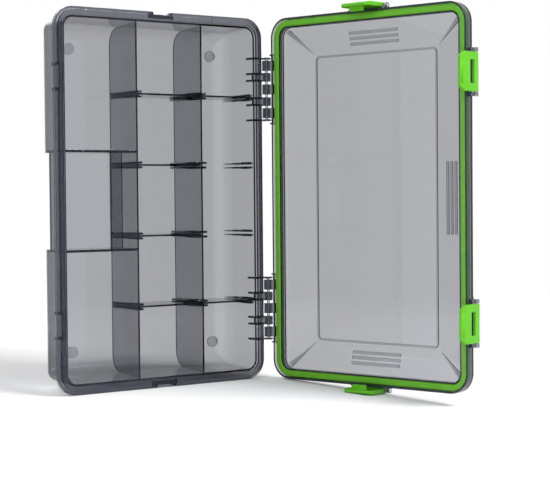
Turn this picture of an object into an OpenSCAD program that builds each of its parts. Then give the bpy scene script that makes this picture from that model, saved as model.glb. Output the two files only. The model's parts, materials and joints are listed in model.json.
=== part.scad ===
// Waterproof tackle box, standing open on its short end: tray, sealed lid, latches, hinge pins, dividers.
// Each half is drawn lying flat, centred, with z = 0 at the plane where the halves meet, and then stood up.

/* [Box] */
// Width of the box, from hinge edge to free edge
body_w = 182; // [170:1:220]
// Length of the box, which stands upright
body_l = 275; // [250:1:330]
// Corner radius of the rim, seen from the front
corner_r = 15; // [14.5:0.5:18]
// Depth of the tray below the parting plane
tray_h = 39.3; // [36:0.1:50]
// Angle the lid stands open
lid_open = 100; // [90:1:120]

/* [Tray] */
// Overhang of the rim beyond the tray's wall
rim_out = 6; // [5.5:0.1:7]
// Lean of the tray's outer walls over their height
draft = 2; // [1:0.1:2.5]
// Thickness of the outer walls
wall_t = 1.8; // [1.4:0.1:2.4]
// Thickness of the floor
floor_t = 1.8; // [1.4:0.1:2.4]
// Outer radius of the rounding between walls and floor
foot_r = 14; // [9:0.5:16]
// Thickness of the rim plate
rim_t = 2.2; // [1.8:0.1:2.8]
// Depth of the lip that hangs from the rim plate
lip_h = 4; // [3.4:0.1:5]
// Thickness of that lip
lip_t = 1.6; // [1.2:0.1:1.8]
// Height of the sealing bead above the rim
bead_h = 1.4; // [1:0.1:1.4]
// Thickness of the two long inner walls
inner_t = 1.5; // [1.2:0.1:2]
// Distance from the rim plane down to the inner walls' edges
inner_drop = 2; // [1:0.1:6]
// Hinge edge to the middle of the first long wall
wall_near = 55.6; // [50:0.1:60]
// Hinge edge to the middle of the second long wall
wall_far = 113; // [105:0.1:118]
// Half the length of the shallow pocket beside the free edge
pocket_half = 34.6; // [28:0.1:40]
// Depth of the shallow pocket below the rim plane
pocket_h = 21.4; // [14:0.1:26]
// Diameter of the four feet
foot_d = 9; // [6:0.5:12]
// Height of the feet
foot_h = 0.8; // [0.4:0.1:1.5]
// Distance of the feet from the hinge edge
foot_near = 21; // [20:0.5:30]
// Distance of the feet from the free edge
foot_far = 34.5; // [22:0.5:40]
// Distance of the feet from the short ends
foot_end = 26.5; // [22:0.5:34]

/* [Dividers] */
// Spacing of the four divider stations
station = 51.7; // [48:0.1:56]
// Thickness of a divider
plate_t = 1.3; // [1:0.1:1.6]
// Room on each side of a divider inside its guide
guide_play = 0.25; // [0.2:0.05:0.4]
// Thickness of one guide rib
guide_t = 1.1; // [0.8:0.1:1.5]
// Length a guide rib stands out from its wall
guide_out = 3.6; // [2.5:0.1:4.5]
// Room between a divider and the walls and floor
plate_play = 0.3; // [0.2:0.05:0.5]

/* [Lid] */
// Height of the lid's skirt
skirt_h = 7.5; // [7:0.1:9]
// Thickness of the skirt
skirt_t = 1.5; // [1.2:0.1:1.6]
// Thickness of the lid's panel
panel_t = 1.6; // [1.2:0.1:1.8]
// Total height of the lid, without its bars
lid_h = 14.9; // [14:0.1:18]
// Height of the plateau's edge, from which its border slopes up
eave_h = 10.3; // [9.6:0.1:11]
// Bevel of that edge
eave_bevel = 1.3; // [0.8:0.1:1.6]
// Height of the wall inside the seal, from the panel
fence_h = 4.2; // [3.4:0.1:4.3]
// Thickness of the wall inside the seal
fence_t = 1.1; // [0.9:0.1:1.4]
// Width of the raised line round the flat middle, on the lid's inside
line_w = 1.6; // [1:0.1:2.4]
// Height of that line
line_h = 0.8; // [0.4:0.1:1.2]
// Width of the sloped border along the long edges, from the lid's edge
slope_side = 33.6; // [28:0.1:38]
// Width of the sloped border along the short ends
slope_end = 29.2; // [26:0.1:36]
// Width of the thickened crease in a border's corner
crease_w = 5; // [3:0.5:7]
// Length of the raised bars beside the short ends
bar_l = 45; // [30:1:60]
// Length of the raised bars beside the free edge
bar_side_l = 52; // [30:1:70]
// Width of one raised bar
bar_w = 2.3; // [1.2:0.1:2.6]
// Spacing of the raised bars
bar_step = 4.1; // [3.4:0.1:5]
// Height of the raised bars
bar_h = 0.8; // [0.4:0.1:1]
// Distance from the free edge to the middle bar
bar_in = 21.2; // [17:0.1:24]
// Distance from a short end to the middle bar
bar_end_in = 18.6; // [16:0.1:20]

/* [Seal] */
// Width of the rubber seal
seal_w = 4.9; // [4.6:0.1:5]
// Thickness of the rubber seal
seal_t = 4.3; // [3:0.1:4.3]
// Room round the seal in its channel
seal_play = 0.1; // [0.05:0.05:0.15]

/* [Hinge] */
// Hinge axis to the rim's edge
hinge_gap = 4.6; // [4.2:0.1:6]
// Radius of a hinge knuckle
knuckle_r = 3.4; // [2.8:0.1:3.8]
// Radius of a hinge pin
pin_r = 1.1; // [0.9:0.05:1.3]
// Middle of the box to the middle of a hinge
hinge_y = 84; // [75:0.5:95]
// Half the length of a hinge
hinge_half = 24.3; // [24:0.1:27]
// Thickness of a hinge fin
fin_t = 1.5; // [1.2:0.1:1.6]
// Middle of a hinge to the middle of a tray knuckle
tray_knuckle_y = 9.3; // [9:0.1:10]
// Width of a tray knuckle
tray_knuckle_w = 6.7; // [6:0.1:7]
// Middle of a hinge to the middle of an outer lid knuckle
lid_knuckle_y = 18.1; // [17.8:0.1:18.6]
// Width of a lid knuckle
lid_knuckle_w = 7.8; // [7:0.1:8.4]
// Depth of the gussets behind the rim
gusset_h = 10; // [8:0.5:18]

/* [Latches] */
// Width of a latch
latch_w = 27.4; // [22:0.1:30]
// Distance from the parting plane to a latch's free end
latch_tail = 12.2; // [11.5:0.1:16]
// Thickness of a latch
latch_t = 3.2; // [2.6:0.1:3.6]
// Thickness of a latch's front wall, over its hollow back
latch_skin = 1.9; // [1.4:0.1:2.2]
// Room between a latch and the lid's side
latch_gap = 1.6; // [1.4:0.1:2]
// Radius of a latch's rolled top
latch_r = 2.2; // [2:0.1:2.4]
// Middle of the box to the middle of a side latch
latch_y = 87.5; // [84:0.5:100]
// Width of a latch's hook
hook_w = 13; // [10:0.5:14]
// Reach of a hook from the rim's edge
hook_in = 1.7; // [1.5:0.05:1.75]
// Height of a hook
hook_h = 2.6; // [2:0.1:3.2]
// Depth of the catch below the parting plane
catch_h = 6; // [5.6:0.1:6.6]
// Length of a catch
catch_l = 20; // [18:1:46]
// Width of the notch that lets a hook in
notch_w = 15.4; // [15:0.1:18]
// Depth of that notch
notch_in = 2; // [2:0.1:2.2]
// Width of the window in a latch
window_w = 16.3; // [12:0.1:18]
// Height of the window in a latch
window_h = 4.4; // [3:0.1:5]
// Distance from the parting plane down to that window's lower edge
window_z = 1; // [0.5:0.1:2]
// Thickness of an ear beside a latch
ear_t = 3; // [2:0.1:4]

/* [Fits] */
// Radial clearance of a pin in what turns on it
run_fit = 0.05; // [0.03:0.01:0.08]
// Radial clearance of a pin in what holds it
hold_fit = 0.02; // [0.01:0.01:0.02]
// Gap between faces that close on each other
close_gap = 0.1; // [0.05:0.05:0.15]
// Gap beside a latch between its ears
side_gap = 0.25; // [0.15:0.05:0.4]

/* [Hidden] */
$fn = 48;
smoke = "#5b606c";
lime = "#5fdc22";
seal_green = "#5fae24";
steel = "#b9bcc0";
half_w = body_w / 2;
half_l = body_l / 2;
bend_in = foot_r - wall_t;                      // inner radius of the tray's bottom edge
inside_h = tray_h - floor_t;                    // parting plane to the inner floor
shoulder = skirt_h;                             // outer face of the lid's shoulder
near_x = wall_near - half_w;
far_x = wall_far - half_w;
stations = [for (k = [0 : 3]) (1.5 - k) * station];    // first is the uppermost once the box stands
up = -1;                                        // drawn y runs downwards once the box stands
fence_in = skirt_t + seal_w + 2 * seal_play;    // edge to the wall inside the seal
plateau_in = fence_in + fence_t - panel_t;      // edge to the plateau, whose wall carries on from that one
side_angle = atan((lid_h - eave_h) / (slope_side - plateau_in));
end_angle = atan((lid_h - eave_h) / (slope_end - plateau_in));
pivot_x = latch_gap + latch_t - latch_r;        // latch axis beyond the rim's edge
roll_reach = latch_r + 0.2;                     // the roll clears the shoulder
pivot_z = shoulder + sqrt(max(0, pow(roll_reach, 2) - pow(pivot_x, 2)));
latch_side = latch_gap + latch_t;               // outermost face of a latch beyond the rim's edge
hook_z = catch_h + 5 * close_gap;
pin_len = latch_w + 2 * side_gap + 2 * ear_t;
bevel_l = 4.4;                                  // length of the bevel at a latch's free end
hinge_x = -half_w - hinge_gap;
reach = hinge_gap + body_w;
foot_z = half_l + latch_side;                   // middle of the box above the standing surface
mid_x = (reach + (reach + pivot_x) * cos(lid_open) - pivot_z * sin(lid_open) - latch_r) / 2;
tail_y = (reach + latch_side) * sin(lid_open) - (latch_tail - bevel_l) * cos(lid_open);
mid_y = (tail_y - tray_h - foot_h) / 2;

// stands the tray upright with the hinge axis at its place
module stand_tray() {
    translate([mid_x, mid_y, foot_z]) rotate([90, 0, 0]) rotate([0, 0, 180])
        translate([-hinge_x, 0, 0]) children();
}

// the same for the lid, turned open about the hinge axis
module stand_lid() {
    translate([mid_x, mid_y, foot_z]) rotate([0, 0, lid_open]) rotate([90, 0, 0]) rotate([0, 0, 180])
        translate([-hinge_x, 0, 0]) children();
}

// sweeps a section round a rounded rectangle: section x is the distance in from the edge, y is height
module frame_round(w, l, r) {
    for (turn = [0, 180]) rotate(turn) translate([-w / 2, 0, 0]) rotate([90, 0, 0])
        linear_extrude(l - 2 * r, center = true) children();
    for (turn = [90, 270]) rotate(turn) translate([-l / 2, 0, 0]) rotate([90, 0, 0])
        linear_extrude(w - 2 * r, center = true) children();
    for (quarter = [0 : 3]) {
        sx = (quarter == 0 || quarter == 3) ? 1 : -1;
        sy = quarter < 2 ? 1 : -1;
        translate([sx * (w / 2 - r), sy * (l / 2 - r), 0]) rotate(90 * quarter)
            rotate_extrude(angle = 90) translate([r, 0]) mirror([1, 0]) children();
    }
}

module core(low, high) {
    translate([corner_r - half_w, corner_r - half_l, low])
        cube([body_w - 2 * corner_r, body_l - 2 * corner_r, high - low]);
}

// a filled rounded rectangle, inset from the rim's edge
module plate(inset, low, high) {
    frame_round(body_w, body_l, corner_r)
        translate([inset, low]) square([corner_r - inset, high - low]);
    core(low, high);
}

// section of a drafted wall face with a rounded foot, filled up to a height and in to a distance
module bowl_section(edge, bend, deep, top, far) {
    mid = edge + draft + bend;
    polygon([[edge, top], [edge, 0], [edge + draft, bend - deep], [far, bend - deep], [far, top]]);
    intersection() {
        translate([mid, bend - deep]) circle(bend);
        translate([mid - bend, -deep]) square([min(mid, far) - mid + bend, bend]);
    }
    if (far > mid) translate([mid, -deep]) square([far - mid, bend]);
}

// the same section over both pairs of sides, which shapes the part between the corners' middles
module bowl_cross(edge, bend, deep) {
    intersection() {
        rotate([90, 0, 0]) linear_extrude(body_l, center = true) for (side = [0, 1])
            mirror([side, 0]) translate([-half_w, 0]) bowl_section(edge, bend, deep, 1, half_w);
        rotate([90, 0, 90]) linear_extrude(body_w, center = true) for (side = [0, 1])
            mirror([side, 0]) translate([-half_l, 0]) bowl_section(edge, bend, deep, 1, half_l);
    }
}

module tray_solid() {
    frame_round(body_w, body_l, corner_r) bowl_section(rim_out, foot_r, tray_h, 0, corner_r);
    intersection() {
        core(-tray_h, 0);
        bowl_cross(rim_out, foot_r, tray_h);
    }
}

module tray_shell() {
    frame_round(body_w, body_l, corner_r) difference() {
        bowl_section(rim_out, foot_r, tray_h, 0, corner_r);
        bowl_section(rim_out + wall_t, bend_in, inside_h, 1, corner_r + 1);
    }
    difference() {
        intersection() {
            core(-tray_h, 0);
            bowl_cross(rim_out, foot_r, tray_h);
        }
        bowl_cross(rim_out + wall_t, bend_in, inside_h);
    }
}

module rim() {
    frame_round(body_w, body_l, corner_r) {
        translate([0, -rim_t]) square([rim_out + wall_t, rim_t]);
        translate([0, -lip_h]) square([lip_t, lip_h]);
        translate([2.2, -0.01]) square([fence_in - 2.7, bead_h + 0.01]);
    }
}

// bar under the rim that a hook catches, drawn for an edge at x = 0 with the box towards -x
module catch_bar() {
    rotate([90, 0, 0]) linear_extrude(catch_l, center = true)
        polygon([[-0.4, -lip_h + 0.5], [-0.4, -catch_h], [-4.2, -catch_h], [-4.9, -rim_t], [-0.4, -rim_t]]);
}

module catch_notch() {
    translate([-notch_in, -notch_w / 2, -catch_h - 1]) cube([notch_in + 1, notch_w, catch_h + 3]);
}

// the four latch places: upright sides at the free edge, then the short ends
module at_latch(which) {
    if (which == "side_upper") translate([half_w, up * latch_y, 0]) children();
    if (which == "side_lower") translate([half_w, -up * latch_y, 0]) children();
    if (which == "top") rotate(up * 90) translate([half_l, 0, 0]) children();
    if (which == "bottom") rotate(-up * 90) translate([half_l, 0, 0]) children();
}

module at_latches() {
    for (which = ["side_upper", "side_lower", "top", "bottom"]) at_latch(which) children();
}

// one pair of guide ribs, standing out towards +x from a wall face at x = 0
module guide_pair(foot) {
    for (side = [-1, 1]) translate([0, side * (plate_t / 2 + guide_play + guide_t / 2), 0])
        rotate([90, 0, 0]) linear_extrude(guide_t, center = true)
            polygon([[-0.5, -inner_drop], [guide_out, -inner_drop], [guide_out + foot, -inside_h - 0.5],
                     [-0.5, -inside_h - 0.5]]);
}

module guides() {
    for (y = stations) translate([0, y, 0]) {
        translate([rim_out + wall_t - half_w, 0, 0]) guide_pair(draft);
        translate([near_x + inner_t / 2, 0, 0]) guide_pair(0);
        for (x = [near_x, far_x]) translate([x - inner_t / 2, 0, 0]) rotate(180) guide_pair(0);
    }
}

module long_walls() {
    for (x = [near_x, far_x]) translate([x - inner_t / 2, -half_l, -inside_h - 0.5])
        cube([inner_t, body_l, inside_h + 0.5 - inner_drop]);
}

// cross walls and raised floor of the pocket; the hollow under it takes the fingers
module pocket() {
    for (side = [-1, 1]) translate([far_x, side * (pocket_half + wall_t / 2) - wall_t / 2, -tray_h])
        cube([half_w, wall_t, tray_h - inner_drop]);
    translate([far_x, -pocket_half - wall_t / 2, -pocket_h - floor_t])
        cube([half_w - far_x, 2 * pocket_half + wall_t, floor_t]);
}

module pocket_hollow() {
    translate([far_x + inner_t / 2, -pocket_half, -tray_h - 1])
        cube([half_w, 2 * pocket_half, tray_h + 1 - pocket_h - floor_t]);
}

module feet() {
    for (x = [foot_near - half_w, half_w - foot_far], y = [foot_end - half_l, half_l - foot_end])
        translate([x, y, -tray_h - foot_h]) cylinder(h = foot_h + 1.6, d = foot_d);
}

// section of a tray hinge fin: knuckle, arm and gusset; the origin is the hinge axis
module tray_fin_section(deep) {
    circle(knuckle_r);
    polygon([[0, -close_gap], [0, -knuckle_r], [hinge_gap, -max(deep, knuckle_r)],
             [hinge_gap + rim_out + 1, -max(deep, knuckle_r)], [hinge_gap + rim_out + 1, -close_gap]]);
}

module slab_y(y, w) {
    translate([hinge_x, y, 0]) rotate([90, 0, 0]) linear_extrude(w, center = true) children();
}

module tray_hinges() {
    inner = tray_knuckle_w / 2 - fin_t / 2;
    fins = [tray_knuckle_y - inner, tray_knuckle_y + inner, hinge_half - fin_t / 2];
    for (middle = [-hinge_y, hinge_y]) {
        for (y = fins, end = [-1, 1]) slab_y(middle + end * y, fin_t) tray_fin_section(gusset_h);
        for (y = [-tray_knuckle_y, tray_knuckle_y]) slab_y(middle + y, tray_knuckle_w) tray_fin_section(0);
    }
}

module lid_hinges() {
    for (middle = [-hinge_y, hinge_y]) {
        for (y = [-lid_knuckle_y, 0, lid_knuckle_y]) slab_y(middle + y, lid_knuckle_w) {
            circle(knuckle_r);
            translate([0, close_gap]) square([hinge_gap + 1, knuckle_r - close_gap]);
        }
        slab_y(middle, 2 * hinge_half + 3)
            translate([hinge_gap - 0.7, knuckle_r / 2]) square([1.7, skirt_h - knuckle_r / 2 - 0.5]);
        for (side = [-1, 1]) slab_y(middle + side * (hinge_half + 1.9), 1.2)
            translate([hinge_gap - 2.4, 1]) square([3.4, skirt_h - 1.5]);
    }
}

module hinge_bores(fit) {
    for (middle = [-hinge_y, hinge_y]) slab_y(middle, 2 * hinge_half + 2) circle(pin_r + fit);
}

module base_tray() color(smoke, 0.55) stand_tray() difference() {
    union() {
        difference() {
            tray_shell();
            pocket_hollow();
        }
        rim();
        intersection() {
            union() {
                difference() {
                    long_walls();
                    pocket_hollow();
                }
                guides();
                pocket();
            }
            tray_solid();
        }
        intersection() {
            plate(0, -gusset_h - 1, 0);
            at_latches() catch_bar();
        }
        tray_hinges();
        feet();
    }
    at_latches() catch_notch();
    bead_nicks();
    hinge_bores(hold_fit);
}

// fine nicks across the sealing bead on the short ends
module bead_nicks() {
    for (side = [-1, 1], x = [-43, 43]) translate([x - 0.4, side * (half_l - 4.4) - 2.6, bead_h - 0.5])
        cube([0.8, 5.2, 1]);
}

// section of the lid's edge: skirt, shoulder and the wall inside the seal
module lid_section() {
    translate([0, close_gap]) square([skirt_t, skirt_h - close_gap]);
    translate([0, shoulder - panel_t]) square([plateau_in + panel_t, panel_t]);
    translate([fence_in, shoulder - panel_t - fence_h]) square([fence_t, fence_h + 0.1]);
}

// section of a low roof over a width, with eaves at the plateau's edge
module roof_section(half, slope, drop) {
    polygon([[-half, 0], [-half, eave_h - drop], [plateau_in - half, eave_h - drop],
             [slope - half, lid_h - drop], [half - slope, lid_h - drop],
             [half - plateau_in, eave_h - drop], [half, eave_h - drop], [half, 0]]);
}

module roof(drop) {
    intersection() {
        rotate([90, 0, 0]) linear_extrude(body_l, center = true) roof_section(half_w, slope_side, drop);
        rotate([90, 0, 90]) linear_extrude(body_w, center = true) roof_section(half_l, slope_end, drop);
    }
}

// the plateau: a wall with a bevelled edge, and a border that slopes up to the flat middle
module plateau() {
    difference() {
        intersection() {
            union() {
                frame_round(body_w, body_l, corner_r)
                    polygon([[plateau_in, shoulder - panel_t], [plateau_in, eave_h - eave_bevel],
                             [plateau_in + 3, eave_h - eave_bevel + 3.6], [plateau_in + 3, lid_h + 1],
                             [corner_r, lid_h + 1], [corner_r, shoulder - panel_t]]);
                core(shoulder - panel_t, lid_h + 1);
            }
            roof(0);
        }
        difference() {
            intersection() {
                plate(plateau_in + panel_t, 1, lid_h);
                roof(panel_t);
            }
            inner_line();
            corner_creases();
        }
    }
}

// raised line on the inside, round the flat middle
module inner_line() {
    translate([0, 0, lid_h - panel_t - line_h])
        frame_round(body_w - 2 * slope_side - 1, body_l - 2 * slope_end - 1, 4) square([line_w, line_h + 1]);
}

// tapering thickened creases on the inside, where the border's slopes meet at the corners
module corner_creases() {
    run_x = slope_side - plateau_in;
    run_y = slope_end - plateau_in;
    run = sqrt(run_x * run_x + run_y * run_y);
    for (sx = [-1, 1], sy = [-1, 1]) mirror([sx < 0 ? 1 : 0, 0, 0]) mirror([0, sy < 0 ? 1 : 0, 0])
        translate([half_w - slope_side, half_l - slope_end, lid_h])
        rotate(atan2(run_y, run_x)) rotate([0, atan((lid_h - eave_h) / run) + 1.8, 0])
            translate([0, 0, -panel_t - 0.4]) linear_extrude(panel_t + 3)
                polygon([[1, 0], [run + 2, crease_w / 2], [run + 2, -crease_w / 2]]);
}

module lid_bars() {
    for (k = [-1 : 1]) {
        translate([half_w - slope_side, 0, lid_h]) rotate([0, side_angle, 0])
            translate([slope_side - bar_in + k * bar_step - bar_w / 2, -bar_side_l / 2, -0.6])
                cube([bar_w, bar_side_l, bar_h + 0.6]);
        for (side = [0, 1]) mirror([0, side, 0])
            translate([0, half_l - slope_end, lid_h]) rotate([-end_angle, 0, 0])
                translate([-bar_l / 2, slope_end - bar_end_in + k * bar_step - bar_w / 2, -0.6])
                    cube([bar_l, bar_w, bar_h + 0.6]);
    }
}

// ears that carry one latch, for a lid edge at x = 0 with the lid towards -x
module ears() {
    for (side = [-1, 1]) translate([0, side * (latch_w / 2 + side_gap + ear_t / 2), 0])
        rotate([90, 0, 0]) linear_extrude(ear_t, center = true) {
            translate([pivot_x, pivot_z]) circle(latch_r - 0.1);
            polygon([[-3.6, shoulder - panel_t / 2], [-skirt_t / 2, shoulder - panel_t / 2],
                     [-skirt_t / 2, 2.5], [0, 2.5],
                     [pivot_x + latch_r - 0.1, pivot_z], [pivot_x, pivot_z + latch_r - 0.1]]);
        }
}

module pin_hole(fit, length) {
    translate([pivot_x, 0, pivot_z]) rotate([90, 0, 0]) cylinder(h = length, r = pin_r + fit, center = true);
}

module lid_shell() color(smoke, 0.55) stand_lid() difference() {
    union() {
        frame_round(body_w, body_l, corner_r) lid_section();
        plateau();
        lid_bars();
        lid_hinges();
        at_latches() ears();
    }
    at_latches() pin_hole(hold_fit, pin_len + 2);
    hinge_bores(run_fit);
}

module lid_gasket() color(seal_green) stand_lid()
    frame_round(body_w, body_l, corner_r)
        translate([skirt_t + seal_play, shoulder - panel_t - seal_play - seal_t])
            polygon([[0.5, 0], [seal_w - 0.5, 0], [seal_w, 0.6], [seal_w, seal_t], [0, seal_t], [0, 0.6]]);

// side view of a latch: rolled top, plate with a bevelled free end, and wedge-shaped hook
module latch_section() {
    translate([pivot_x, pivot_z]) circle(latch_r);
    polygon([[latch_gap, pivot_z], [latch_gap, -latch_tail], [latch_side - 1.1, -latch_tail],
             [latch_side, bevel_l - latch_tail], [latch_side, pivot_z]]);
}

module hook_section() {
    polygon([[latch_side - latch_skin / 2, -hook_z], [-hook_in, -hook_z], [-hook_in, -hook_z - 0.9],
             [latch_gap, -hook_z - hook_h], [latch_side - latch_skin / 2, -hook_z - hook_h]]);
}

// hollow in the back of a latch, which leaves walls down its two sides
module latch_hollow() {
    side = 2.2;
    translate([latch_gap - 1, side - latch_w / 2, 2.8 - latch_tail])
        cube([latch_t - latch_skin + 1, latch_w - 2 * side, pivot_z - latch_r - 0.6 + latch_tail - 2.8]);
}

module latch() color(lime) difference() {
    union() {
        difference() {
            intersection() {
                rotate([90, 0, 0]) linear_extrude(latch_w, center = true) latch_section();
                translate([-10, 0, 0]) rotate([90, 0, 90]) linear_extrude(30) latch_front();
            }
            latch_hollow();
        }
        rotate([90, 0, 0]) linear_extrude(hook_w, center = true) hook_section();
    }
    translate([0, -window_w / 2, -window_z]) cube([20, window_w, window_h]);
    pin_hole(run_fit, latch_w + 2);
}

// front view of a latch, with its free corners cut off
module latch_front() {
    top = pivot_z + latch_r;
    half = latch_w / 2;
    polygon([[-half, top], [half, top], [half, 4.2 - latch_tail],
             [half - 3.4, -latch_tail], [3.4 - half, -latch_tail], [-half, 4.2 - latch_tail]]);
}

module latch_at(which) stand_lid() at_latch(which) latch();

module latch_pin(which) color(steel) stand_lid() at_latch(which)
    translate([pivot_x, 0, pivot_z]) rotate([90, 0, 0]) cylinder(h = pin_len, r = pin_r, center = true);

module hinge_pin(side) color(steel) stand_tray()
    translate([hinge_x, side * hinge_y, 0]) rotate([90, 0, 0])
        cylinder(h = 2 * hinge_half, r = pin_r, center = true);

module divider(k, outline) color(smoke, 0.6) stand_tray() translate([0, up * stations[k], 0])
    rotate([90, 0, 0]) linear_extrude(plate_t, center = true) children();

// divider between the two long walls
module middle_divider(k) divider(k) {
    left = near_x + inner_t / 2 + plate_play;
    translate([left, plate_play - inside_h])
        square([far_x - inner_t / 2 - plate_play - left, inside_h - plate_play - inner_drop - 0.5]);
}

// divider between the hinge side's wall and the first long wall, shaped to the rounded foot
module hinge_divider(k) divider(k) {
    edge = rim_out + wall_t + plate_play;
    intersection() {
        translate([-half_w, 0]) bowl_section(edge, bend_in - plate_play, inside_h - plate_play, 0, half_w);
        translate([-half_w, -tray_h])
            square([near_x - inner_t / 2 - plate_play + half_w, tray_h - inner_drop - 0.5]);
    }
}

base_tray();
lid_shell();
lid_gasket();
latch_at("top");  // latch_top
latch_at("bottom");  // latch_bottom
latch_at("side_upper");  // latch_side_upper
latch_at("side_lower");  // latch_side_lower
latch_pin("top");  // latch_pin_top
latch_pin("bottom");  // latch_pin_bottom
latch_pin("side_upper");  // latch_pin_side_upper
latch_pin("side_lower");  // latch_pin_side_lower
hinge_pin(up);  // hinge_pin_upper
hinge_pin(-up);  // hinge_pin_lower
middle_divider(0);  // divider_middle_1
middle_divider(1);  // divider_middle_2
middle_divider(2);  // divider_middle_3
middle_divider(3);  // divider_middle_4
hinge_divider(0);  // divider_hinge_1
hinge_divider(3);  // divider_hinge_4
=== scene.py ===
import bpy
import bmesh
import json
import math
from mathutils import Matrix, Vector


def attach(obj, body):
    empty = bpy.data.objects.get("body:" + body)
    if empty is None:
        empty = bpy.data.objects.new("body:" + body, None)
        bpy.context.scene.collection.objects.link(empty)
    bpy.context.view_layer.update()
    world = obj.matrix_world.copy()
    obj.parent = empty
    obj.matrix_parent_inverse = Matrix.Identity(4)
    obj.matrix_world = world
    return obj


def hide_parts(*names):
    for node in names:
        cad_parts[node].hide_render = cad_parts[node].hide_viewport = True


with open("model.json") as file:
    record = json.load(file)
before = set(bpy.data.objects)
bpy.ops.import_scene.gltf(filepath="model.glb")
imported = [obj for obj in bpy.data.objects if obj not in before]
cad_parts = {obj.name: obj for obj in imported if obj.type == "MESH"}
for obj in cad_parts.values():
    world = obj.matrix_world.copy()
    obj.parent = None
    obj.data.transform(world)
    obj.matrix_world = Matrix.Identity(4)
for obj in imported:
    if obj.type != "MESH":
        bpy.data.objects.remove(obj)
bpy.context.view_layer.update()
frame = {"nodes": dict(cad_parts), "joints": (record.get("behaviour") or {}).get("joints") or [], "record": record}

print("frame loaded:", len(frame["nodes"]), "nodes")

scene = bpy.context.scene
slotOf = {part["node"]: part["material_slot"] for part in frame["record"]["subparts"]}
lidJoint = next(j for j in frame["joints"] if j["name"] == "lid_hinge")
hinge = Vector(lidJoint["pos_m"])
openAngle = -math.radians(lidJoint["range_deg"][0])    # how far the lid stands open at rest

box = {                     # sizes shared by the pieces that follow the rim, in metres
    "width": 0.182,
    "length": 0.275,
    "corner": 0.015,
    "hingeGap": 0.0046,     # hinge axis to the rim's edge
}

# Tray and lid are drawn lying flat and centred, with z = 0 where they meet when shut.
# These matrices stand them on their short end, in their places.
upright = Matrix.Rotation(math.pi / 2, 4, "X") @ Matrix.Rotation(math.pi, 4, "Z")
besideHinge = Matrix.Translation((box["hingeGap"] + box["width"] / 2, 0, 0))
standTray = Matrix.Translation(hinge) @ upright @ besideHinge
standLid = Matrix.Translation(hinge) @ Matrix.Rotation(openAngle, 4, "Z") @ upright @ besideHinge


def addObject(name, data):
    thing = bpy.data.objects.new(name, data)
    scene.collection.objects.link(thing)
    return thing


# What the materials are made with

noiseRange = (0.3, 0.7)     # where nearly all of a noise texture's values lie
bumpDetail = 3


def newMaterial(name):
    mat = bpy.data.materials.new(name)
    mat.use_nodes = True
    nodes, links = mat.node_tree.nodes, mat.node_tree.links
    nodes.clear()
    return mat, nodes, links, nodes.new("ShaderNodeOutputMaterial")


def newNoise(nodes, links, scale, detail):
    # noise in Object coordinates, so it stays on the piece when the piece moves
    coord = nodes.new("ShaderNodeTexCoord")
    noise = nodes.new("ShaderNodeTexNoise")
    noise.inputs["Scale"].default_value = scale
    noise.inputs["Detail"].default_value = detail
    links.new(coord.outputs["Object"], noise.inputs["Vector"])
    return noise.outputs["Fac"]


def varySocket(nodes, links, socket, pattern, low, high):
    # lets noise move a socket's value between low and high
    span = nodes.new("ShaderNodeMapRange")
    span.inputs["From Min"].default_value, span.inputs["From Max"].default_value = noiseRange
    span.inputs["To Min"].default_value = low
    span.inputs["To Max"].default_value = high
    links.new(newNoise(nodes, links, **pattern), span.inputs["Value"])
    links.new(span.outputs["Result"], socket)


def addBump(nodes, links, skin, bumps):
    bump = nodes.new("ShaderNodeBump")
    bump.inputs["Strength"].default_value = bumps["strength"]
    bump.inputs["Distance"].default_value = bumps["height"]
    links.new(newNoise(nodes, links, bumps["scale"], bumpDetail), bump.inputs["Height"])
    links.new(bump.outputs["Normal"], skin.inputs["Normal"])


# Smoke-grey clear plastic, which bends light and darkens with thickness

smoke = {
    "absorption": 485.0,                         # per metre of plastic
    "absorptionColour": (0.0, 0.012, 0.075, 1),  # what the plastic lets through a little more
    "index": 1.49,
    "roughness": 0.03,
    "mirrorTint": (0.66, 0.73, 1.0, 1),          # of what its skin mirrors, seen most where it is dark
    "lampTint": (0.6, 0.61, 0.65, 1),            # what each face lets through of a lamp's light
    "bump": {"scale": 14, "strength": 0.12, "height": 0.0006},
}


def smokePlastic():
    mat, nodes, links, out = newMaterial("smokePlastic")
    skin = nodes.new("ShaderNodeBsdfPrincipled")
    skin.inputs["Base Color"].default_value = (1, 1, 1, 1)
    skin.inputs["Transmission Weight"].default_value = 1
    skin.inputs["IOR"].default_value = smoke["index"]
    skin.inputs["Roughness"].default_value = smoke["roughness"]
    skin.inputs["Specular Tint"].default_value = smoke["mirrorTint"]
    addBump(nodes, links, skin, smoke["bump"])
    # a lamp reaches what lies behind the plastic, which refraction alone would leave in full shadow
    clear = nodes.new("ShaderNodeBsdfTransparent")
    clear.inputs["Color"].default_value = smoke["lampTint"]
    path = nodes.new("ShaderNodeLightPath")
    mix = nodes.new("ShaderNodeMixShader")
    links.new(path.outputs["Is Shadow Ray"], mix.inputs["Fac"])
    links.new(skin.outputs[0], mix.inputs[1])
    links.new(clear.outputs[0], mix.inputs[2])
    links.new(mix.outputs[0], out.inputs["Surface"])
    tint = nodes.new("ShaderNodeVolumeAbsorption")
    tint.inputs["Color"].default_value = smoke["absorptionColour"]
    tint.inputs["Density"].default_value = smoke["absorption"]
    links.new(tint.outputs[0], out.inputs["Volume"])
    return mat


# The lime latches and the softer seal, which differ in their numbers only

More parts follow.
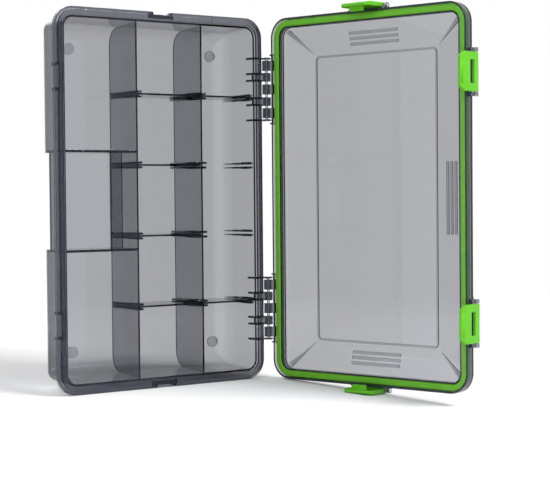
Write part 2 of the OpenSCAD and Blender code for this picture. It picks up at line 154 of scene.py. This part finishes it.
latchFinish = {
    "colour": (0.11, 0.48, 0.006, 1),
    "shade": (0.095, 0.43, 0.004, 1),            # soft patches of it lie in the colour
    "patches": {"scale": 90, "detail": 3},
    "roughness": (0.27, 0.39),
    "grain": {"scale": 700, "detail": 2},        # how finely the roughness varies
    "specular": 0.35,
    "bump": {"scale": 2600, "strength": 0.12, "height": 0.00006},
}
sealFinish = {
    "colour": (0.12, 0.42, 0.012, 1),
    "shade": (0.1, 0.38, 0.01, 1),
    "patches": {"scale": 120, "detail": 4},
    "roughness": (0.44, 0.58),
    "grain": {"scale": 900, "detail": 2},
    "specular": 0.5,
    "bump": {"scale": 3500, "strength": 0.2, "height": 0.00005},
}


def solidColour(name, finish):
    mat, nodes, links, out = newMaterial(name)
    skin = nodes.new("ShaderNodeBsdfPrincipled")
    skin.inputs["Specular IOR Level"].default_value = finish["specular"]
    mix = nodes.new("ShaderNodeMix")
    mix.data_type = "RGBA"
    mix.inputs["A"].default_value = finish["colour"]
    mix.inputs["B"].default_value = finish["shade"]
    varySocket(nodes, links, mix.inputs["Factor"], finish["patches"], 0, 1)
    links.new(mix.outputs["Result"], skin.inputs["Base Color"])
    varySocket(nodes, links, skin.inputs["Roughness"], finish["grain"], *finish["roughness"])
    addBump(nodes, links, skin, finish["bump"])
    links.new(skin.outputs[0], out.inputs["Surface"])
    return mat


# Plain drawn wire

pinFinish = {
    "colour": (0.6, 0.61, 0.63, 1),
    "roughness": (0.22, 0.4),
    "grain": {"scale": 1500, "detail": 3},
}


def pinSteel():
    mat, nodes, links, out = newMaterial("pinSteel")
    skin = nodes.new("ShaderNodeBsdfPrincipled")
    skin.inputs["Base Color"].default_value = pinFinish["colour"]
    skin.inputs["Metallic"].default_value = 1
    varySocket(nodes, links, skin.inputs["Roughness"], pinFinish["grain"], *pinFinish["roughness"])
    links.new(skin.outputs[0], out.inputs["Surface"])
    return mat


finishes = {
    "smoke_plastic": smokePlastic(),
    "latch_plastic": solidColour("latchPlastic", latchFinish),
    "seal_rubber": solidColour("sealRubber", sealFinish),
    "steel_pin": pinSteel(),
}
for name, node in frame["nodes"].items():
    node.data.materials.clear()
    node.data.materials.append(finishes[slotOf[name]])
print("materials assigned")


def finishPiece(piece, body, slot, *nodes):
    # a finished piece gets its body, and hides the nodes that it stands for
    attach(piece, body)
    if nodes:
        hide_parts(*nodes)


# Tray, lid and latches with rounded edges

latchEdge = {"edge": 0.0006, "steps": 3}
moulded = {    # the radius of a piece's edges, in metres, and the steps round it
    "base_tray": {"body": "tray", "edge": 0.0003, "steps": 2, "depth": 0.0075},    # its rim only
    "lid_shell": {"body": "lid", "edge": 0.0003, "steps": 2},
    "latch_top": {"body": "latch_top", **latchEdge},
    "latch_bottom": {"body": "latch_bottom", **latchEdge},
    "latch_side_upper": {"body": "latch_side_upper", **latchEdge},
    "latch_side_lower": {"body": "latch_side_lower", **latchEdge},
}
edgeRules = {
    "weld": 3e-6,                           # in metres
    "sharp": math.radians(28),              # edges that turn more than this are rounded
    "flat": math.cos(math.radians(0.5)),    # faces that meet at less than 0.5 degrees are one flat
    "blend": math.cos(math.radians(35)),    # faces that meet at less than 35 degrees are shaded as one
}


def flatPatches(shape):
    # groups the faces that lie in one flat: the group of each face, and each group's area
    patchOf, areas = {}, []
    for first in shape.faces:
        if first in patchOf:
            continue
        waiting, area = [first], 0
        patchOf[first] = len(areas)
        while waiting:
            face = waiting.pop()
            area += face.calc_area()
            for edge in face.edges:
                for other in edge.link_faces:
                    if other not in patchOf and face.normal.dot(other.normal) > edgeRules["flat"]:
                        patchOf[other] = len(areas)
                        waiting.append(other)
        areas.append(area)
    return patchOf, areas


def cornerNormals(shape):
    # shading normals for each face corner: a rounded edge blends into the flats, which stay flat
    shape.normal_update()
    patchOf, areas = flatPatches(shape)
    normals = []
    for face in shape.faces:
        for corner in face.loops:
            near = {patchOf[other]: other for other in corner.vert.link_faces
                    if other.normal.dot(face.normal) > edgeRules["blend"]}
            total = sum((other.normal * areas[patch] for patch, other in near.items()), Vector())
            normals.append(total.normalized() if total.length else face.normal.copy())
    return normals


def roundedCopy(name, body, edge, steps, depth=math.inf):
    # a node's copy with its outer edges rounded, as far back from the hinge as depth
    mesh = bpy.data.meshes.new(name + "Moulded")
    shape = bmesh.new()
    shape.from_mesh(frame["nodes"][name].data)
    bmesh.ops.remove_doubles(shape, verts=shape.verts, dist=edgeRules["weld"])
    deepest = hinge.y + depth
    sharp = [e for e in shape.edges
             if e.is_manifold and e.is_convex and e.calc_face_angle() > edgeRules["sharp"]
             and max(v.co.y for v in e.verts) < deepest]
    bmesh.ops.bevel(shape, geom=sharp, offset=edge, offset_type="OFFSET", segments=steps, profile=0.5,
                    affect="EDGES", clamp_overlap=False)
    normals = cornerNormals(shape)
    shape.to_mesh(mesh)
    shape.free()
    mesh.shade_smooth()
    mesh.normals_split_custom_set(normals)
    mesh.materials.append(finishes[slotOf[name]])
    finishPiece(addObject(name + "Moulded", mesh), body, slotOf[name], name)


for name, kind in moulded.items():
    roundedCopy(name, **kind)
print("moulded pieces rounded")


# What the Geometry Nodes pieces are made with

def newTree(name, inputs):
    # a tree with these inputs, by name and kind, and one geometry output
    tree = bpy.data.node_groups.new(name, "GeometryNodeTree")
    kinds = {float: "NodeSocketFloat", int: "NodeSocketInt", bpy.types.Material: "NodeSocketMaterial"}
    for label, kind in inputs.items():
        tree.interface.new_socket(label, in_out="INPUT", socket_type=kinds[kind])
    tree.interface.new_socket("Geometry", in_out="OUTPUT", socket_type="NodeSocketGeometry")
    return tree, tree.nodes.new("NodeGroupInput")


def repeatInRow(tree, given, axis, shape):
    # instances of a shape, by the tree's Count and Spacing
    nodes, links = tree.nodes, tree.links
    step = nodes.new("ShaderNodeCombineXYZ")
    links.new(given.outputs["Spacing"], step.inputs[axis])
    row = nodes.new("GeometryNodeMeshLine")
    row.mode = "OFFSET"
    links.new(given.outputs["Count"], row.inputs["Count"])
    links.new(step.outputs["Vector"], row.inputs["Offset"])
    copies = nodes.new("GeometryNodeInstanceOnPoints")
    links.new(row.outputs["Mesh"], copies.inputs["Points"])
    links.new(shape, copies.inputs["Instance"])
    return copies


def closeTree(tree, given, geometry):
    # ends a tree: makes instances real and sets the finish
    nodes, links = tree.nodes, tree.links
    real = nodes.new("GeometryNodeRealizeInstances")
    finish = nodes.new("GeometryNodeSetMaterial")
    result = nodes.new("NodeGroupOutput")
    links.new(geometry, real.inputs["Geometry"])
    links.new(real.outputs["Geometry"], finish.inputs["Geometry"])
    links.new(given.outputs["Finish"], finish.inputs["Material"])
    links.new(finish.outputs["Geometry"], result.inputs["Geometry"])
    return tree


def treePiece(name, tree, values, place):
    # runs a tree with these values, and keeps what it makes as a plain mesh in its place
    piece = addObject(name, bpy.data.meshes.new(name))
    modifier = piece.modifiers.new("nodes", "NODES")
    modifier.node_group = tree
    sockets = {i.name: i.identifier for i in tree.interface.items_tree if i.in_out == "INPUT"}
    for label, value in values.items():
        modifier[sockets[label]] = value
    graph = bpy.context.evaluated_depsgraph_get()
    made = bpy.data.meshes.new_from_object(piece.evaluated_get(graph), depsgraph=graph)
    piece.modifiers.clear()
    made.transform(place)
    piece.data = made
    return piece


# The seal, swept round the lid

seal = {                     # in metres
    "inset": 0.00405,        # rim's edge to the middle of the seal
    "width": 0.0049,
    "thickness": 0.0043,
    "face": 0.0015,          # where the halves meet to the seal's face
    "round": 0.0011,         # rounding of its face
}
sealSteps = {"corner": 16, "round": 5}


def sealTree():
    tree, given = newTree("sealSweep", {
        "Run Width": float, "Run Length": float, "Corner": float, "Width": float, "Thickness": float,
        "Round": float, "Finish": bpy.types.Material})
    nodes, links = tree.nodes, tree.links
    run = nodes.new("GeometryNodeCurvePrimitiveQuadrilateral")
    links.new(given.outputs["Run Width"], run.inputs["Width"])
    links.new(given.outputs["Run Length"], run.inputs["Height"])
    bend = nodes.new("GeometryNodeFilletCurve")
    bend.mode = "POLY"
    bend.inputs["Count"].default_value = sealSteps["corner"]
    links.new(run.outputs["Curve"], bend.inputs["Curve"])
    links.new(given.outputs["Corner"], bend.inputs["Radius"])
    profile = nodes.new("GeometryNodeCurvePrimitiveQuadrilateral")
    links.new(given.outputs["Width"], profile.inputs["Width"])
    links.new(given.outputs["Thickness"], profile.inputs["Height"])
    soft = nodes.new("GeometryNodeFilletCurve")
    soft.mode = "POLY"
    soft.inputs["Count"].default_value = sealSteps["round"]
    links.new(profile.outputs["Curve"], soft.inputs["Curve"])
    links.new(given.outputs["Round"], soft.inputs["Radius"])
    sweep = nodes.new("GeometryNodeCurveToMesh")
    links.new(bend.outputs["Curve"], sweep.inputs["Curve"])
    links.new(soft.outputs["Curve"], sweep.inputs["Profile Curve"])
    smooth = nodes.new("GeometryNodeSetShadeSmooth")
    links.new(sweep.outputs["Mesh"], smooth.inputs["Geometry"])
    return closeTree(tree, given, smooth.outputs["Geometry"])


def makeSeal():
    place = standLid @ Matrix.Translation((0, 0, seal["face"] + seal["thickness"] / 2))
    piece = treePiece("sealRing", sealTree(), {
        "Run Width": box["width"] - 2 * seal["inset"],
        "Run Length": box["length"] - 2 * seal["inset"],
        "Corner": box["corner"] - seal["inset"],
        "Width": seal["width"],
        "Thickness": seal["thickness"],
        "Round": seal["round"],
        "Finish": finishes["seal_rubber"],
    }, place)
    finishPiece(piece, "lid", "seal_rubber", "lid_gasket")


makeSeal()
print("seal swept")


# Grip ridges on the latches

latch = {                    # where a latch's face is, in metres
    "along": 0.0875,         # middle of the box to a side latch
    "outer": 0.0048,         # its face beyond the rim's edge
    "tail": -0.0122,         # its free end
    "bevel": 0.0044,         # length of the bevel there
    "bevelDepth": 0.0011,
}
ridges = {                   # in metres
    "count": 2,
    "spacing": 0.0013,
    "length": 0.0178,
    "radius": 0.0004,
    "first": 0.0012,         # free end to the first ridge
    "sunk": 0.00026,         # how deep a ridge's middle lies in the bevel
}
ridgeSides = 20


def ridgeTree():
    tree, given = newTree("gripRidges", {
        "Count": int, "Spacing": float, "Length": float, "Radius": float, "Finish": bpy.types.Material})
    nodes, links = tree.nodes, tree.links
    bar = nodes.new("GeometryNodeMeshCylinder")
    bar.inputs["Vertices"].default_value = ridgeSides
    links.new(given.outputs["Radius"], bar.inputs["Radius"])
    links.new(given.outputs["Length"], bar.inputs["Depth"])
    smooth = nodes.new("GeometryNodeSetShadeSmooth")
    smooth.domain = "FACE"
    links.new(bar.outputs["Mesh"], smooth.inputs["Geometry"])
    links.new(bar.outputs["Side"], smooth.inputs["Shade Smooth"])
    copies = repeatInRow(tree, given, "Z", smooth.outputs["Geometry"])
    copies.inputs["Rotation"].default_value = (math.pi / 2, 0, 0)
    return closeTree(tree, given, copies.outputs["Instances"])


def latchPlaces():
    # each latch's place in the flat lid, from that of one on the side away from the hinge
    turned = Matrix.Rotation(-math.pi / 2, 4, "Z")
    return {
        "latch_side_upper": Matrix.Translation((box["width"] / 2, -latch["along"], 0)),
        "latch_side_lower": Matrix.Translation((box["width"] / 2, latch["along"], 0)),
        "latch_top": turned @ Matrix.Translation((box["length"] / 2, 0, 0)),
        "latch_bottom": turned.inverted() @ Matrix.Translation((box["length"] / 2, 0, 0)),
    }


def makeRidges():
    tree = ridgeTree()
    lean = math.atan2(latch["bevelDepth"], latch["bevel"])
    freeEnd = Matrix.Translation((latch["outer"] - latch["bevelDepth"], 0, latch["tail"]))
    intoBevel = Matrix.Translation((-ridges["sunk"], 0, ridges["first"]))
    onBevel = freeEnd @ Matrix.Rotation(lean, 4, "Y") @ intoBevel
    for name, place in latchPlaces().items():
        piece = treePiece(name + "Ridges", tree, {
            "Count": ridges["count"],
            "Spacing": ridges["spacing"],
            "Length": ridges["length"],
            "Radius": ridges["radius"],
            "Finish": finishes["latch_plastic"],
        }, standLid @ place @ onBevel)
        finishPiece(piece, name, "latch_plastic")


makeRidges()
print("latch ridges made")


# The curled lips of the divider guides

lips = {                     # in metres and degrees
    "count": 4,              # divider stations
    "spacing": 0.0517,
    "radius": 0.00205,       # to the middle of a lip's wall
    "thickness": 0.0011,
    "top": -0.0021,          # where the halves meet to the lips' upper end
    "mouth": 42,             # from straight out to where a lip ends
    "root": 148,             # to where it leaves its rib
}
lipSteps = 16
lipWalls = {    # the faces with guides: distance from the tray's middle, and the lips' height
    "guideLipsHingeSide": {"across": -0.0826, "height": 0.021, "facesHinge": False},
    "guideLipsNearOut": {"across": -0.03465, "height": 0.0352, "facesHinge": False},
    "guideLipsNearBack": {"across": -0.03615, "height": 0.0352, "facesHinge": True},
    "guideLipsFarBack": {"across": 0.02125, "height": 0.0352, "facesHinge": True},
}


def lipTree():
    tree, given = newTree("guideLips", {
        "Count": int, "Spacing": float, "Radius": float, "Thickness": float, "Height": float,
        "Mouth": float, "Sweep": float, "Finish": bpy.types.Material})
    nodes, links = tree.nodes, tree.links
    lip = nodes.new("GeometryNodeCurveArc")
    lip.inputs["Resolution"].default_value = lipSteps
    links.new(given.outputs["Radius"], lip.inputs["Radius"])
    links.new(given.outputs["Mouth"], lip.inputs["Start Angle"])
    links.new(given.outputs["Sweep"], lip.inputs["Sweep Angle"])
    level = nodes.new("GeometryNodeSetCurveNormal")
    level.mode = "Z_UP"
    links.new(lip.outputs["Curve"], level.inputs["Curve"])
    strip = nodes.new("GeometryNodeCurvePrimitiveQuadrilateral")
    links.new(given.outputs["Thickness"], strip.inputs["Width"])
    links.new(given.outputs["Height"], strip.inputs["Height"])
    sweep = nodes.new("GeometryNodeCurveToMesh")
    sweep.inputs["Fill Caps"].default_value = True
    links.new(level.outputs["Curve"], sweep.inputs["Curve"])
    links.new(strip.outputs["Curve"], sweep.inputs["Profile Curve"])
    mirror = nodes.new("GeometryNodeTransform")
    mirror.inputs["Scale"].default_value = (1, -1, 1)
    links.new(sweep.outputs["Mesh"], mirror.inputs["Geometry"])
    outwards = nodes.new("GeometryNodeFlipFaces")    # the mirror turned them inside out
    links.new(mirror.outputs["Geometry"], outwards.inputs["Mesh"])
    pair = nodes.new("GeometryNodeJoinGeometry")
    links.new(sweep.outputs["Mesh"], pair.inputs["Geometry"])
    links.new(outwards.outputs["Mesh"], pair.inputs["Geometry"])
    copies = repeatInRow(tree, given, "Y", pair.outputs["Geometry"])
    return closeTree(tree, given, copies.outputs["Instances"])


def makeLips():
    tree = lipTree()
    firstStation = -lips["spacing"] * (lips["count"] - 1) / 2
    for name, wall in lipWalls.items():
        outwards = -lips["radius"] if wall["facesHinge"] else lips["radius"]
        middle = (wall["across"] + outwards, 0, lips["top"] - wall["height"] / 2)
        turn = Matrix.Rotation(math.pi if wall["facesHinge"] else 0, 4, "Z")
        place = Matrix.Translation(middle) @ turn @ Matrix.Translation((0, firstStation, 0))
        piece = treePiece(name, tree, {
            "Count": lips["count"],
            "Spacing": lips["spacing"],
            "Radius": lips["radius"],
            "Thickness": lips["thickness"],
            "Height": wall["height"],
            "Mouth": math.radians(lips["mouth"]),
            "Sweep": math.radians(lips["root"] - lips["mouth"]),
            "Finish": finishes["smoke_plastic"],
        }, standTray @ place)
        finishPiece(piece, "tray", "smoke_plastic")


makeLips()
print("guide lips made")


# Camera

camera = {
    "fromHinge": (-0.7707, -0.9958, 0.1426),    # from the hinge axis, and above the rim's lower end
    "turn": 0.6630,                             # direction of sight, clockwise from +Y, in radians
    "pitch": 0.0307,                            # downwards
    "roll": -0.0087,
    "focal": 1634.9,                            # in pixels of a picture of this width
    "pictureWidth": 550,
    "sensor": 36,                               # in millimetres
    "sees": (0.05, 20),                         # from and to, in metres
}


def makeCamera():
    data = bpy.data.cameras.new("camera")
    cam = addObject("camera", data)
    turn, pitch, roll = camera["turn"], camera["pitch"], camera["roll"]
    ahead = Vector((math.sin(turn) * math.cos(pitch), math.cos(turn) * math.cos(pitch), -math.sin(pitch)))
    right = Vector((math.cos(turn), -math.sin(turn), 0))
    above = right.cross(ahead)
    tiltedRight = right * math.cos(roll) + above * math.sin(roll)
    tiltedAbove = above * math.cos(roll) - right * math.sin(roll)
    rimEnd = hinge.z - box["length"] / 2
    spot = Vector((hinge.x, hinge.y, rimEnd)) + Vector(camera["fromHinge"])
    turned = Matrix((tiltedRight, tiltedAbove, -ahead)).transposed().to_4x4()
    cam.matrix_world = Matrix.Translation(spot) @ turned
    data.sensor_width = camera["sensor"]
    data.lens = camera["sensor"] * camera["focal"] / camera["pictureWidth"]
    data.clip_start, data.clip_end = camera["sees"]
    scene.camera = cam


# Floor

stand = {                           # in metres
    "colour": (0.93, 0.93, 0.93, 1),
    "size": 6.0,
    "lean": math.radians(2.8),      # it rises towards the tray, which rests on its rim
    "restsAt": -0.02,               # where the floor passes z = 0, under the end latch
    "fadeFrom": 0.45,
    "fadeTo": 0.9,
}


def paleFloor():
    # its paint fades to plain light far out, so that no horizon shows
    mat, nodes, links, out = newMaterial("paleFloor")
    skin = nodes.new("ShaderNodeBsdfDiffuse")
    skin.inputs["Color"].default_value = stand["colour"]
    far = nodes.new("ShaderNodeEmission")
    coord = nodes.new("ShaderNodeTexCoord")
    reach = nodes.new("ShaderNodeVectorMath")
    reach.operation = "LENGTH"
    fade = nodes.new("ShaderNodeMapRange")
    fade.interpolation_type = "SMOOTHSTEP"
    fade.inputs["From Min"].default_value = stand["fadeFrom"]
    fade.inputs["From Max"].default_value = stand["fadeTo"]
    mix = nodes.new("ShaderNodeMixShader")
    links.new(coord.outputs["Object"], reach.inputs[0])
    links.new(reach.outputs["Value"], fade.inputs["Value"])
    links.new(fade.outputs["Result"], mix.inputs["Fac"])
    links.new(skin.outputs[0], mix.inputs[1])
    links.new(far.outputs[0], mix.inputs[2])
    links.new(mix.outputs[0], out.inputs["Surface"])
    return mat


def makeFloor():
    half = stand["size"] / 2
    mesh = bpy.data.meshes.new("floor")
    corners = [(-half, -half, 0), (half, -half, 0), (half, half, 0), (-half, half, 0)]
    mesh.from_pydata(corners, [], [(0, 1, 2, 3)])
    mesh.materials.append(paleFloor())
    floor = addObject("floor", mesh)
    floor.matrix_world = Matrix.Translation((0, stand["restsAt"], 0)) @ Matrix.Rotation(stand["lean"], 4, "X")


# Light

lights = {
    "world": 0.45,           # on the floor and on solid colours
    "shown": 1.0,            # where the world is seen, mirrored or looked at through the plastic
    "aim": (0, 0, 0.14),
}
lamps = {                    # metres and watts
    "key": {"spot": (0.75, -1.25, 1.6), "size": 0.9, "watts": 38},
    "fill": {"spot": (-1.5, -0.9, 1.3), "size": 1.6, "watts": 17},
    "back": {"spot": (0.4, 1.8, 1.6), "size": 1.5, "watts": 10},
}
bounces = {"all": 32, "transmission": 32, "transparent": 48}    # enough for the box's many clear walls


def makeWorld():
    world = bpy.data.worlds.new("studio")
    scene.world = world
    world.use_nodes = True
    nodes, links = world.node_tree.nodes, world.node_tree.links
    nodes.clear()
    out = nodes.new("ShaderNodeOutputWorld")
    dim, shown = nodes.new("ShaderNodeBackground"), nodes.new("ShaderNodeBackground")
    for background, strength in ((dim, lights["world"]), (shown, lights["shown"])):
        background.inputs["Color"].default_value = (1, 1, 1, 1)
        background.inputs["Strength"].default_value = strength
    path = nodes.new("ShaderNodeLightPath")
    seen = path.outputs["Is Camera Ray"]
    for kind in ("Is Glossy Ray", "Is Transmission Ray"):
        either = nodes.new("ShaderNodeMath")
        either.operation = "MAXIMUM"
        links.new(seen, either.inputs[0])
        links.new(path.outputs[kind], either.inputs[1])
        seen = either.outputs[0]
    mix = nodes.new("ShaderNodeMixShader")
    links.new(seen, mix.inputs["Fac"])
    links.new(dim.outputs[0], mix.inputs[1])
    links.new(shown.outputs[0], mix.inputs[2])
    links.new(mix.outputs[0], out.inputs["Surface"])


def makeLamps():
    for name, lamp in lamps.items():
        data = bpy.data.lights.new(name, "AREA")
        data.energy = lamp["watts"]
        data.size = lamp["size"]
        source = addObject(name, data)
        source.location = lamp["spot"]
        towards = Vector(lights["aim"]) - Vector(lamp["spot"])
        source.rotation_euler = towards.to_track_quat("-Z", "Y").to_euler()


makeCamera()
makeFloor()
makeWorld()
makeLamps()
scene.view_settings.view_transform = "Standard"
scene.cycles.max_bounces = bounces["all"]
scene.cycles.transmission_bounces = bounces["transmission"]
scene.cycles.transparent_max_bounces = bounces["transparent"]
print("camera, floor and lights made")
